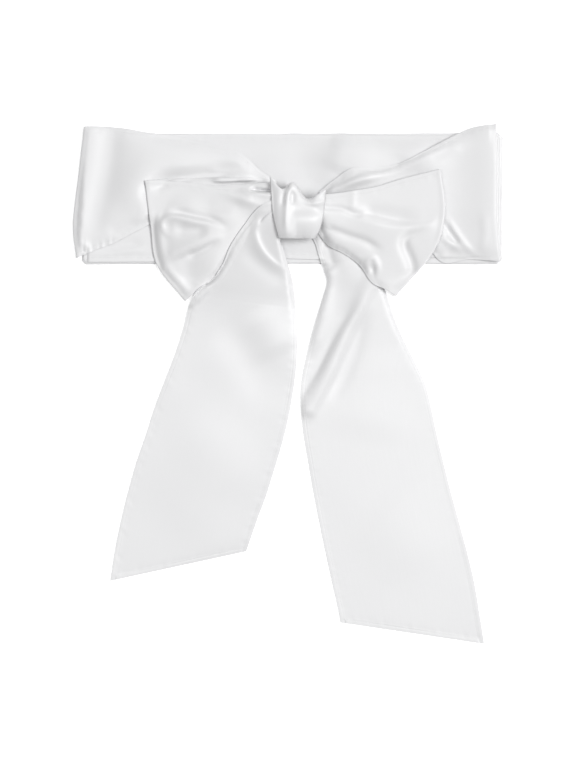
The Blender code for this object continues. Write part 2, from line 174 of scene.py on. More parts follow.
def hemAt(fromEdge, along, seed):
    # turned-under edge: a little thicker, dimpled under its stitches and drawn up unevenly beside them
    pick = np.random.default_rng(seed)
    inward = fromEdge - hem["wide"]
    rise = hem["rise"] * (1 - ease((inward + 0.5) / 0.9))
    dimple = hem["dimple"] * np.exp(-(((inward + 0.7) / 0.45) ** 2))
    draw = sum(np.sin(along / length * math.tau + pick.uniform(0, 6)) for length in hem["waves"]) / 3
    return rise - dimple + hem["draw"] * draw * np.exp(-((inward / 3.0) ** 2))


def puckersAt(u, v, rows):
    # short crinkles square to a hem: side 0 is the first column and 1 the last,
    # and begin and finish are lengths along it
    total = np.zeros_like(u)
    for side, begin, finish, amount, pitch, reach in rows:
        inward = v if side == 0 else v[:, -1:] - v
        along = u[:, :1] if side == 0 else u[:, -1:]
        turns = along / pitch
        wave = np.sin(turns * math.tau) + 0.6 * np.sin(turns * 3.9 + 1) + 0.5 * np.sin(turns * 10.1)
        fade = ease((along - begin) / 6 + 0.5) * ease((finish - along) / 6 + 0.5)
        total += amount * wave * fade * np.exp(-((inward / reach) ** 2))
    return total


def settle(z, x, y, fromSide, share, reach, roll):
    # hems roll down to the cloth below them, by no more than the roll
    near = share * np.exp(-((fromSide / reach) ** 2))
    tight = ground.under(x, y, 0, 0) + cloth["gap"] + cloth["thick"] / 2 + cloth["clear"]
    return z - np.clip(z - tight, 0, roll) * near


def objectFrom(name, form):
    mesh = bpy.data.meshes.new(name)
    form.to_mesh(mesh)
    form.free()
    piece = bpy.data.objects.new(name, mesh)
    bpy.context.collection.objects.link(piece)
    return piece


def wear(piece, material):
    piece.data.materials.append(material)
    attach(piece, "root")
    return piece


def runLengths(points):
    # how far along the cloth each grid point is, down the rows and across the columns
    down = np.linalg.norm(np.diff(points, axis=0), axis=-1)
    over = np.linalg.norm(np.diff(points, axis=1), axis=-1)
    u = np.concatenate([np.zeros((1, points.shape[1])), np.cumsum(down, 0)])
    v = np.concatenate([np.zeros((points.shape[0], 1)), np.cumsum(over, 1)], 1)
    return u, v


def placeSheet(name, points):
    # a grid through the points, walled to the cloth's thickness, with its weave laid out flat as UV
    rows, columns = points.shape[:2]
    sheet = bmesh.new()
    bmesh.ops.create_grid(sheet, x_segments=columns - 1, y_segments=rows - 1, size=1)
    sheet.verts.ensure_lookup_table()
    for vert, place in zip(sheet.verts, (points / 1000).reshape(-1, 3)):
        vert.co = place
    weave = sheet.loops.layers.uv.new("weave")
    flat = np.stack(runLengths(points), -1).reshape(-1, 2) / 1000
    for face in sheet.faces:
        for loop in face.loops:
            loop[weave].uv = flat[loop.vert.index]
    piece = objectFrom(name, sheet)
    piece.data.shade_smooth()
    wall = piece.modifiers.new("wall", "SOLIDIFY")
    wall.thickness = cloth["thick"] / 1000
    wall.offset = 0
    return wear(piece, satinCloth)


stitch = {"fromEdge": 3.2, "pitch": 2.9, "long": 1.8, "wide": 0.34, "rise": 0.13, "sunk": 0.05, "crest": 0.6}


def crossing(points, lengths, target):
    # where each row of the grid is the target length along itself
    rows = list(zip(target, lengths, points))
    return np.stack([[np.interp(at, run, row[:, axis]) for at, run, row in rows] for axis in range(3)], -1)


def lineAt(at, run, line):
    return np.array([np.interp(at, run, line[:, axis]) for axis in range(3)])


def sewHems(name, points, endHem=False):
    # a dash of thread for each stitch of the topstitching, on the cloth's outer side
    u, v = runLengths(points)
    outward = np.cross(np.gradient(points, axis=0), np.gradient(points, axis=1))
    outward /= np.linalg.norm(outward, axis=-1, keepdims=True) + 1e-9
    outward *= np.sign(outward[-2, points.shape[1] // 2, 2])
    inset = np.full(len(points), stitch["fromEdge"])
    targets = [(points, outward, v, inset), (points, outward, v, v[:, -1] - inset)]
    if endHem:
        turned = [np.swapaxes(grid, 0, 1) for grid in (points, outward, u)]
        targets.append((*turned, u[-1] - stitch["fromEdge"]))
    seam = bmesh.new()
    for grid, normals, lengths, target in targets:
        line, up = crossing(grid, lengths, target), crossing(normals, lengths, target)
        run = np.concatenate([[0], np.cumsum(np.linalg.norm(np.diff(line, axis=0), axis=1))])
        for at in np.arange(stitch["fromEdge"], run[-1] - stitch["fromEdge"], stitch["pitch"]):
            begin, finish, lift = lineAt(at - 0.5, run, line), lineAt(at + 0.5, run, line), lineAt(at, run, up)
            way, lift = (finish - begin) / np.linalg.norm(finish - begin), lift / np.linalg.norm(lift)
            side = np.cross(lift, way)
            foot = (begin + finish) / 2 + lift * (cloth["thick"] / 2 - stitch["sunk"])
            half, wide = way * stitch["long"] / 2, side * stitch["wide"] / 2
            low = [foot - half - wide, foot + half - wide, foot + half + wide, foot - half + wide]
            crest = [foot + end * half * stitch["crest"] + lift * stitch["rise"] for end in (-1, 1)]
            a, b, c, d, e, f = (seam.verts.new(p / 1000) for p in low + crest)
            for corners in ((a, b, f, e), (b, c, f), (c, d, e, f), (d, a, e), (d, c, b, a)):
                seam.faces.new(corners)
    return wear(objectFrom(name, seam), sewingThread)


# Satin: long warp floats that shine across themselves, a fine weave and slack that never lies dead flat.
satinLook = {
    "colour": (0.76, 0.76, 0.765, 1.0), "shade": (0.74, 0.74, 0.75, 1.0), "rough": 0.47, "grain": 0.75,
    "cloudy": {"Scale": 22, "Detail": 3},
    "floats": {"Scale": 520, "Distortion": 3, "Detail": 2}, "floatBump": {"Strength": 0.35, "Distance": 0.00003},
    "slubs": {"Scale": 420}, "slubBump": {"Strength": 0.5, "Distance": 0.00006},
}
threadLook = {"colour": (0.8, 0.8, 0.8, 1.0), "rough": 0.55}


def setInputs(node, values):
    for socket, value in values.items():
        node.inputs[socket].default_value = value


def satin(name, look):
    material = bpy.data.materials.new(name)
    material.use_nodes = True
    nodes, links = material.node_tree.nodes, material.node_tree.links
    shader = nodes["Principled BSDF"]
    setInputs(shader, {
        "Roughness": look["rough"], "Anisotropic": look["grain"], "Anisotropic Rotation": 0.25,
        "Sheen Weight": 0.1, "Sheen Roughness": 0.5, "Specular IOR Level": 0.9, "IOR": 1.5,
    })
    weave = nodes.new("ShaderNodeUVMap")
    weave.uv_map = "weave"
    place = nodes.new("ShaderNodeTexCoord")
    tangent = nodes.new("ShaderNodeTangent")
    tangent.direction_type = "UV_MAP"
    tangent.uv_map = "weave"
    links.new(tangent.outputs[0], shader.inputs["Tangent"])
    cloudy = nodes.new("ShaderNodeTexNoise")
    setInputs(cloudy, look["cloudy"])
    links.new(place.outputs["Object"], cloudy.inputs["Vector"])
    tint = nodes.new("ShaderNodeMixRGB")
    tint.inputs[1].default_value = look["shade"]
    tint.inputs[2].default_value = look["colour"]
    links.new(cloudy.outputs["Fac"], tint.inputs[0])
    links.new(tint.outputs[0], shader.inputs["Base Color"])
    floats = nodes.new("ShaderNodeTexWave")
    floats.wave_type = "BANDS"
    floats.bands_direction = "Y"
    setInputs(floats, look["floats"])
    links.new(weave.outputs[0], floats.inputs["Vector"])
    slubs = nodes.new("ShaderNodeTexNoise")
    setInputs(slubs, look["slubs"])
    stretch = nodes.new("ShaderNodeMapping")
    stretch.inputs["Scale"].default_value = (0.12, 1.0, 1.0)
    links.new(weave.outputs[0], stretch.inputs["Vector"])
    links.new(stretch.outputs[0], slubs.inputs["Vector"])
    floatBump, slubBump = nodes.new("ShaderNodeBump"), nodes.new("ShaderNodeBump")
    setInputs(floatBump, look["floatBump"])
    setInputs(slubBump, look["slubBump"])
    links.new(floats.outputs["Fac"], floatBump.inputs["Height"])
    links.new(slubs.outputs["Fac"], slubBump.inputs["Height"])
    links.new(floatBump.outputs[0], slubBump.inputs["Normal"])
    links.new(slubBump.outputs[0], shader.inputs["Normal"])
    sheenMap = nodes.new("ShaderNodeMapRange")
    setInputs(sheenMap, {"To Min": look["rough"] - 0.03, "To Max": look["rough"] + 0.05})
    links.new(slubs.outputs["Fac"], sheenMap.inputs["Value"])
    links.new(sheenMap.outputs[0], shader.inputs["Roughness"])
    return material


def thread(name, look):
    # two plies twisted round each other
    material = bpy.data.materials.new(name)
    material.use_nodes = True
    nodes, links = material.node_tree.nodes, material.node_tree.links
    shader = nodes["Principled BSDF"]
    shader.inputs["Roughness"].default_value = look["rough"]
    place = nodes.new("ShaderNodeTexCoord")
    plies = nodes.new("ShaderNodeTexWave")
    plies.bands_direction = "DIAGONAL"
    plies.inputs["Scale"].default_value = 900
    links.new(place.outputs["Object"], plies.inputs["Vector"])
    tone = nodes.new("ShaderNodeMixRGB")
    tone.inputs[1].default_value = [0.88 * k for k in look["colour"][:3]] + [1]
    tone.inputs[2].default_value = look["colour"]
    links.new(plies.outputs["Fac"], tone.inputs[0])
    links.new(tone.outputs[0], shader.inputs["Base Color"])
    twist = nodes.new("ShaderNodeBump")
    twist.inputs["Distance"].default_value = 0.00005
    links.new(plies.outputs["Fac"], twist.inputs["Height"])
    links.new(twist.outputs[0], shader.inputs["Normal"])
    return material


satinCloth = satin("satin_cloth", satinLook)
sewingThread = thread("sewing_thread", threadLook)
print("satin made")

ground = Ground()


def layFlat(piece):
    width, length = piece["size"]
    along = np.linspace(0, 1, int(round(length / cloth["fine"])) + 1)
    if piece.get("endHem"):
        edge = np.array(hem["columns"]) / length
        along = np.concatenate([along[along < 1 - hem["even"] / length], 1 - edge[::-1]])
    across = sharesAcross(width)
    x, y = planAt(piece["plan"], along, across)
    u, v = runLengths(np.stack([x, y], -1))
    fromSide = np.minimum(v, v[:, -1:] - v)
    height = bedAt(piece["bed"], along, across) + reliefAt(x, y, piece["folds"])
    height = height + unevenness(x, y, piece["seed"], *piece["slack"])
    below = ground.under(x, y, *piece["room"]) + cloth["gap"] + cloth["thick"] / 2
    z = below + liftOff(height + puckersAt(u, v, piece.get("puckers", [])) - below)
    roll = splineAt(piece["roll"], along)[:, None]
    z = settle(z, x, y, fromSide, hem["sideShare"], piece["hemReach"], roll) + hemAt(fromSide, u, piece["seed"])
    if piece.get("endHem"):
        fromEnd = u[-1:] - u
        z = settle(z, x, y, fromEnd, hem["endShare"], hem["endReach"], roll)
        z = z + hemAt(fromEnd, v, piece["seed"] + 1) * (fromSide > hem["wide"])
    return np.stack([x, y, np.maximum(z, cloth["thick"] / 2 + cloth["overFloor"])], -1)


def dress(clothName, stitchName, points, endHem=False):
    # the laid cloth and its topstitches, with what comes later lying on it
    ground.add(*np.moveaxis(points, -1, 0))
    return placeSheet(clothName, points), sewHems(stitchName, points, endHem)


# The waist band's hidden turns: rings that round in and out once for each layer.
waistLayers = {
    "layers": [
        {"lowLeft": (-160, 93), "lowRight": (167, 94.6), "topRight": (168, 194.5), "topLeft": (-153, 195.5)},
        {"lowLeft": (-161, 93.6), "lowRight": (165.6, 93.2), "topRight": (166.6, 195.8), "topLeft": (-153, 194.8)},
        {"lowLeft": (-160, 94.4), "lowRight": (164, 94.2), "topRight": (165, 194), "topLeft": (-153, 195.2)},
    ],
    "height": 0.85, "corner": 2.5, "points": (110, 36, 110, 36), "waver": 0.35, "waverLong": 46, "seed": 40,
    "underInset": 1.6, "topInset": 1.8, "bears": ((-156, 166), (94, 195)),
    "lips": [(0.06, 0.5), (0.16, 0.1), (0.32, 0.0), (0.5, 0.1), (0.68, 0.3), (0.84, 0.6), (0.95, 1.1)],
}


def bandRing(layer, inset, seed):
    corners = np.array([layer[k] for k in ("lowLeft", "lowRight", "topRight", "topLeft")], float)
    inward = np.array([(1, 1), (-1, 1), (-1, -1), (1, -1)], float)
    ring = []
    for k, count in enumerate(waistLayers["points"]):
        following = (k + 1) % 4
        begin, finish = corners[k] + inward[k] * inset, corners[following] + inward[following] * inset
        way = (finish - begin) / np.linalg.norm(finish - begin)
        begin, finish = begin + way * waistLayers["corner"], finish - way * waistLayers["corner"]
        share = np.linspace(0, 1, count)[:, None]
        side = begin + (finish - begin) * share
        out = np.array([way[1], -way[0]])
        wave = unevenness(side[:, 0], side[:, 1], seed, waistLayers["waver"], waistLayers["waverLong"])
        ring.append(side + out * wave[:, None] * np.sin(share * math.pi))
    return np.concatenate(ring)


def makeWaistLayers():
    layers, thick, seed = waistLayers["layers"], waistLayers["height"], waistLayers["seed"]
    rings = [(0.0, bandRing(layers[0], waistLayers["underInset"], seed))]
    for k, layer in enumerate(layers):
        rings += [((k + share) * thick, bandRing(layer, inset, seed + k)) for share, inset in waistLayers["lips"]]
    top = len(layers) * thick
    rings.append((top, bandRing(layers[-1], waistLayers["topInset"], seed + len(layers) - 1)))
    solid = bmesh.new()
    previous = None
    for height, ring in rings:
        verts = [solid.verts.new((px / 1000, py / 1000, height / 1000)) for px, py in ring]
        edges = [solid.edges.new((verts[k], verts[(k + 1) % len(verts)])) for k in range(len(verts))]
        if previous:
            bmesh.ops.bridge_loops(solid, edges=previous + edges)
        else:
            solid.faces.new(verts)
        previous = edges
    solid.faces.new(verts)
    bmesh.ops.recalc_face_normals(solid, faces=solid.faces)
    weave = solid.loops.layers.uv.new("weave")
    for face in solid.faces:
        for loop in face.loops:
            loop[weave].uv = (loop.vert.co.x, loop.vert.co.y + loop.vert.co.z)
    piece = objectFrom("band_layers", solid)
    piece.data.shade_smooth()
    wear(piece, satinCloth)
    (left, right), (lower, upper) = waistLayers["bears"]
    spanX, spanY = np.meshgrid(np.linspace(left, right, 300), np.linspace(lower, upper, 100), indexing="ij")
    ground.add(spanX, spanY, np.full_like(spanX, top - cloth["thick"] / 2))
    return piece


bandLayers = makeWaistLayers()
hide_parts("waist_layers")
print("hidden layers of the band made")

# The top turn, plain between the gathered sides.
waistPanel = {
    "plan": [
        [(-152, 194), (-159, 95)],
        [(-95, 194.3), (-95, 95.6)],
        [(-35, 195), (-35, 98.5)],
        [(25, 194), (25, 97)],
        [(90, 193.4), (90, 98)],
        [(156, 193.5), (156, 100)],
    ],
    "folds": [
        crease(-3.0, 20, [(-26, 152), (5, 148), (34, 152)], start=1.0, end=1.0),
        crease(-1.6, 14, [(13, 196), (10, 178), (8, 160)], start=0.3, end=0.6),
        crease(4.2, 30, [(46, 198), (44, 179), (38, 162)], far=14, start=0.4, end=0.6),
        crease(1.3, 2.6, [(-162, 98), (-142, 101), (-122, 103.5), (-104, 103)], start=0.6),
        crease(-0.9, 4, [(-150, 104), (-130, 108), (-112, 110)]),
        crease(1.8, 12, [(106, 196), (99, 184), (88, 170)], far=12, start=0.3),
    ],
    # heights over the floor, from the left end to the right one and from the upper edge to the lower one
    "bed": [(3.2, 3.2), (4.6, 4.2), (6, 4.6), (6.9, 4.6), (6, 4.4), (3.2, 3.2)],
    "hemReach": 9, "roll": [5, 5], "size": (96, 306), "room": (1.5, 3), "seed": 3, "slack": (0.12, 60),
}
panel, panelStitches = dress("panel_cloth", "panel_stitches", layFlat(waistPanel))
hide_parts("waist_panel")
print("panel laid")


def roundTurn(outer, upper, lower, count):
    # rows that round from the upper edge row to the lower one, out to the outer one
    middle, half = (upper + lower) / 2, (upper - lower) / 2
    bulge = outer - middle
    bulge[..., 2] = 0
    turn = np.linspace(0, np.pi, count + 2)[1:-1, None, None]
    # fuller below, where the fold rests
    out = np.where(turn < np.pi / 2, np.sin(turn), np.sin(turn) ** 0.4)
    return middle - half * np.cos(turn) + bulge * out


def hemmed(points, piece):
    # the hems and puckers of a stretch that has been turned back
    u, v = runLengths(points)
    fromSide = np.minimum(v, v[:, -1:] - v)
    points[..., 2] += hemAt(fromSide, u, piece["seed"]) + puckersAt(u, v, piece.get("puckers", []))
    return points


frontForm = {"turnShare": 0.024, "turnRows": 11, "reach": 7, "roll": 7, "foldClose": 0.3, "foldSpan": 0.12}


def layFront(piece):
    # comes round its end fold from the lower side, then lies over the band and gathers in to the knot
    width, length = piece["size"]
    rows = int(round(length / cloth["fine"]))
    along = np.concatenate([[0], np.linspace(frontForm["turnShare"], 1, rows)])
    across = sharesAcross(width)
    x, y = planAt(piece["plan"], along, across)
    height = piece["lift"] + reliefAt(x, y, piece["folds"]) + unevenness(x, y, piece["seed"], *piece["slack"])
    z = ground.under(x, y, *piece["room"]) + cloth["gap"] + cloth["thick"] / 2 + liftOff(height)
    v = runLengths(np.stack([x, y], -1))[1]
    topClose = splineAt(piece["topClose"], along)[:, None]
    fromFold = ease(along / frontForm["foldSpan"])[:, None]
    lowClose = frontForm["foldClose"] + (piece["lowClose"] - frontForm["foldClose"]) * fromFold
    z = settle(z, x, y, v, topClose, frontForm["reach"], frontForm["roll"])
    z = settle(z, x, y, v[:, -1:] - v, lowClose, frontForm["reach"], frontForm["roll"])
    points = np.stack([x, y, z], -1)
    tucked = points[1].copy()
    tucked[:, 2] = piece["foot"] + cloth["thick"] / 2
    turn = roundTurn(points[:1], points[1:2], tucked[None], frontForm["turnRows"])
    points = np.concatenate([tucked[None], turn, points[1:]])
    return hemmed(points, piece)


frontLeft = {
    "plan": [
        [(-159, 200.5), (-163, 165), (-167.5, 125), (-165, 98)],
        [(-145, 200.5), (-148, 168), (-152, 132), (-151, 104)],
        [(-128, 199), (-130, 170), (-134, 138), (-135, 110)],
        [(-108, 195.7), (-111, 172), (-114, 145), (-117, 119.5)],
        [(-86, 192.7), (-90, 173), (-93, 152), (-96, 130)],
        [(-62, 188), (-66, 173), (-68, 157), (-70, 140)],
        [(-38, 181), (-42, 168), (-44, 156), (-45, 143)],
        [(-22, 167), (-24, 160), (-25, 152), (-26, 145)],
        [(-9, 158), (-9, 154), (-9, 150), (-9, 146)],
    ],
    "folds": [
        crease(0.6, 10, [(-152, 203), (-156, 165), (-162, 130), (-163, 106)], far=4, start=1.0, end=1.0),
        crease(-2.0, 10, [(-137, 204), (-141, 168), (-149, 135), (-155, 112)], far=11, start=1.0, end=0.5),
        crease(1.6, 20, [(-106, 206), (-110, 176), (-114, 150)], far=17, start=1.0, end=0.6),
        crease(
            2.3, 6, [(-52, 173), (-78, 172), (-100, 169), (-114, 160), (-119, 148), (-113, 132)], far=14, end=0.5,
        ),
        crease(-4.4, 7, [(-108, 144), (-98, 154), (-84, 158), (-64, 161.5), (-46, 165), (-28, 164)], far=5),
        crease(1.0, 3, [(-66, 166), (-46, 165), (-16, 159)], end=1.0, crisp=0.4),
        crease(0.7, 3, [(-50, 178), (-36, 172), (-26, 165), (-15, 157)], end=1.0, crisp=0.4),
        crease(
            1.6, 3, [(-164, 112), (-154, 105.5), (-146, 107.5), (-134, 112), (-120, 119)],
            start=0.3, end=1.0, crisp=0.3,
        ),
        crease(-1.0, 5, [(-142, 116), (-128, 121), (-114, 127)]),
    ],
    "puckers": [(1, 4, 40, 0.2, 5.3, 5)],
    # shares of the way down to the cloth below, from the end fold to the knot
    "topClose": [0.1, 0.2, 0.9, 0.75, 0.5], "lowClose": 0.97,
    "size": (98, 172), "lift": 3.6, "foot": 0.0, "room": (1.5, 3), "seed": 5, "slack": (0.15, 60),
}
leftFront, leftFrontStitches = dress("left_front", "left_front_stitches", layFront(frontLeft))
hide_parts("front_left")
print("left front laid")

frontRight = {
    "plan": [
        [(162, 202.5), (163, 168), (163, 130), (165, 95.5)],
        [(142, 199), (141, 167), (141, 130), (141, 97)],
        [(122, 189.5), (122, 164), (122, 130), (121, 94.5)],
        [(104, 180), (105, 159), (107, 134), (108, 107)],
        [(86, 171.5), (88, 155), (90, 135), (92, 115)],
        [(68, 168.5), (70, 154), (72, 137), (74, 122)],
        [(50, 168), (52, 156), (54, 143), (56, 130)],
        [(36, 159), (37, 152), (38, 145), (39, 137)],
        [(24, 149.5), (24, 147.5), (24, 145), (24, 142)],
    ],
    "folds": [
        crease(4.0, 3.5, [(156, 203), (158.5, 175), (158.5, 135), (159.5, 98)], far=18, start=1.0, end=0.5),
        crease(4.6, 5, [(30, 150), (60, 160.5), (85, 168), (112, 180), (135, 193)], far=4, start=0.5),
        crease(1.8, 7, [(98, 167), (115, 171), (127, 181), (142, 194)]),
        crease(0.6, 3, [(152, 138), (153, 118), (151, 100)]),
        crease(1.8, 2.2, [(121, 134), (129, 120), (137, 109), (144, 102), (150, 99)], far=2.6, crisp=0.3),
        crease(-1.8, 2.2, [(120, 128), (127, 117), (134, 108)]),
        crease(1.6, 2, [(118, 116), (127, 109), (138, 103)], far=2.6, crisp=0.3),
        crease(-1.4, 5, [(121, 105), (128, 101), (136, 98)]),
        crease(2.2, 4, [(32, 153), (44, 164), (58, 168), (74, 167)], start=0.5),
        crease(-1.2, 2.2, [(34, 154), (48, 160), (60, 165)]),
    ],
    "topClose": [0.1, 0.6, 0.97, 0.97, 0.9], "lowClose": 0.97,
    "size": (98, 156), "lift": 2.4, "foot": 5.0, "room": (1.5, 3), "seed": 7, "slack": (0.15, 60),
}
rightFront, rightFrontStitches = dress("right_front", "right_front_stitches", layFront(frontRight))
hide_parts("front_right")
print("right front laid")

tailRight = {
    "plan": [
        [(16, 118), (25, 130)],
        [(21, 110), (36, 118)],
        [(24, 100), (48, 106)],
        [(27, 90), (58, 94)],
        [(30, 80), (68, 84)],
        [(27, 68), (76, 72.5)],
        [(22.5, 54), (82, 54)],
        [(18, 38), (89.5, 36)],
        [(14, 20), (98.5, 18)],
        [(10.5, 2), (106.5, 1)],
        [(9.8, -16), (111, -16)],
        [(12, -38), (115.5, -37)],
        [(16, -62), (121, -60)],
        [(20, -85), (127, -84)],
        [(24.5, -108), (133.5, -108)],
        [(29.5, -132), (140, -132)],
        [(34.5, -155), (145.5, -156)],
        [(39, -175), (149.5, -180)],
        [(41, -186), (153, -202.5)],
    ],
    "folds": [
        crease(4.0, 5.5, [(66, 80), (54, 55), (46, 40), (39, 24), (30, 4), (17, -20)], far=8, start=0.8, end=0.6),
        crease(-1.8, 4, [(59, 74), (46, 54), (34, 33), (23, 13), (13, -4)], far=6, end=0.6),
        crease(-1.6, 6, [(64, 62), (56, 44), (50, 24), (42, 4), (32, -18)], far=9),
        crease(1.4, 6, [(32, 84), (27, 50), (17, 18)], start=1.0),
        crease(-3.0, 8, [(28, 112), (29, 100), (31, 86)], far=3, start=1.0),
        crease(0.8, 34, [(70, 30), (72, -10), (66, -50)]),
        crease(0.8, 34, [(70, -84), (96, -112), (118, -146)]),
    ],
    # heights over the floor, from the knot to the end and from the left side to the right one
    "bed": [
        (9, 10, 10), (5.4, 8.2, 8.4), (2.6, 4.8, 4.8), (1.4, 2.6, 2.4), (0.8, 1.9, 1.3),
        (0.7, 1.6, 0.8), (0.6, 1.4, 0.6), (0.5, 1.3, 0.5), (0.5, 1.1, 0.5), (0.4, 0.6, 0.4),
    ],
    "size": (108, 320), "room": (1.2, 3), "seed": 11, "slack": (0.22, 80),
    "hemReach": 2.8, "roll": [2.5, 2.5, 2, 1.2, 1.2, 1.2], "endHem": True,
}
rightTail, rightTailStitches = dress("right_tail", "right_tail_stitches", layFlat(tailRight), endHem=True)
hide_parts("tail_right")
print("right tail laid")


loopForm = {
    "room": (1.2, 1.5), "turnRows": 11, "reach": 3, "roll": 3,
    # cloth thicknesses between the ground and the front layer, fewer near the round fold, from its place on
    "apart": 2.7, "lessAtFold": 0.9, "foldFrom": 0.8,
    # the lower hem is let down up to this share of the way, and eased in over the span before it
    "closeTo": 0.92, "closeSpan": 0.3,
}


def layLoop(piece):
    # back layer outwards from the knot, the round fold, then the front layer home again
    width, length = piece["size"]
    across = sharesAcross(width)
    share = np.linspace(0, piece["turnShare"], int(round(length / cloth["fine"])))
    backX, backY = planAt(piece["back"], share, across)
    backZ = ground.under(backX, backY, *loopForm["room"]) + cloth["gap"] + cloth["thick"] / 2
    backZ += liftOff(reliefAt(backX, backY, piece.get("backFolds", []))) - liftOff(np.zeros(1))
    along = np.append(share, 1.0)
    frontX, frontY = planAt(piece["front"], along, across)
    nearFold = ease((along - loopForm["foldFrom"]) / (1 - loopForm["foldFrom"]))[:, None]
    apart = cloth["thick"] * (loopForm["apart"] - loopForm["lessAtFold"] * nearFold)
    below = ground.under(frontX, frontY, *loopForm["room"]) + cloth["gap"] + apart
    height = reliefAt(frontX, frontY, piece["folds"]) + unevenness(frontX, frontY, piece["seed"], *piece["slack"])
    frontZ = below + liftOff(bedAt(piece["bed"], along, across) + height - below)
    v = runLengths(np.stack([frontX, frontY], -1))[1]
    close = piece["lowClose"] * ease((loopForm["closeTo"] - along) / loopForm["closeSpan"])[:, None]
    frontZ = settle(frontZ, frontX, frontY, v[:, -1:] - v, close, loopForm["reach"], loopForm["roll"])
    back, front = np.stack([backX, backY, backZ], -1), np.stack([frontX, frontY, frontZ], -1)
    turn = roundTurn(front[-1:], front[-2:-1], back[-1:], loopForm["turnRows"])
    return hemmed(np.concatenate([back, turn, front[-2::-1]]), piece)


loopLeft = {
    "front": [
        [(-9, 157), (-9, 149), (-9, 141), (-9, 133)],
        [(-24, 155.6), (-26, 146), (-26, 136), (-27, 125)],
        [(-41, 154.6), (-43, 138), (-43, 122), (-42, 106)],
        [(-58, 154.2), (-60, 132), (-59, 110), (-54, 88)],
        [(-76, 156.4), (-77, 129), (-76, 102), (-63, 79)],
        [(-94, 157.8), (-93, 128), (-90, 97), (-71, 72.5)],
        [(-111, 158), (-107, 125), (-102, 93), (-80, 64.5)],
    ],
    "back": [
        [(-9, 159), (-9, 152), (-9, 145), (-9, 138)],
        [(-42, 160), (-43, 143), (-43, 126), (-42, 110)],
        [(-76, 160), (-77, 132), (-76, 105), (-63, 81)],
        [(-111, 158), (-107, 125), (-102, 93), (-80, 64.5)],
    ],
    "folds": [
        crease(1.2, 3.5, [(-104.5, 160), (-100.5, 122), (-95, 93), (-80, 74)], far=3, start=1.0, end=1.0),
        crease(-0.9, 2.2, [(-108.4, 160), (-105, 122), (-99.5, 92), (-80, 68)], far=1.4, start=1.0, end=0.3),
        crease(
            2.0, 3.4,
            [(-50, 119), (-64, 124.5), (-76, 127), (-86, 129.5), (-94, 129), (-98, 124), (-95, 117.5), (-86, 113)],
            far=2.2, crisp=0.3,
        ),
        crease(-2.6, 1.9, [(-44, 120), (-58, 127), (-72, 130.3), (-84, 133), (-94, 134)], far=3.4),
        crease(-1.8, 5, [(-60, 118), (-76, 119.5), (-90, 120.5)]),
        crease(2.3, 3.0, [(-46, 118), (-62, 111), (-78, 104), (-90, 99), (-97, 92)], far=7),
        crease(0.8, 1.8, [(-94, 97), (-97, 90), (-94, 82), (-88, 76), (-81, 69)]),
        crease(-2.0, 3.4, [(-82, 99), (-68, 104), (-52, 113)]),
        crease(-2.2, 6, [(-78, 139), (-58, 137), (-42, 138), (-26, 132)], far=7),
        crease(
            1.4, 3, [(-84, 156), (-68, 152), (-52, 149.5), (-36, 144), (-22, 139), (-13, 140)],
            far=4, end=1.0, crisp=0.4,
        ),
        crease(1.0, 2.4, [(-40, 151), (-26, 148), (-12, 146)], end=1.0),
        crease(-6.0, 1.7, [(-30, 151.8), (-22, 150.4), (-12, 150)], end=0.5),
        crease(-2.2, 12, [(-81, 106), (-77, 92), (-71, 73)], far=8),
    ],
    "backFolds": [crease(3.0, 5, [(-62, 158.4), (-51, 158), (-36, 158.7), (-18, 159.3)], far=1.5)],
    "size": (90, 100), "lowClose": 0.7, "turnShare": 0.975,
    # heights over the floor, from the knot to the round fold and from the upper hem to the lower one
    "bed": [(15, 19, 18, 13), (12.5, 18, 16, 10.6), (11, 16.5, 14, 8), (10, 13.2, 10, 6), (7, 6.8, 5, 2.8)],
    "seed": 13, "slack": (0.12, 44),
}
leftLoop, leftLoopStitches = dress("left_loop", "left_loop_stitches", layLoop(loopLeft))
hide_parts("loop_left")
print("left loop laid")

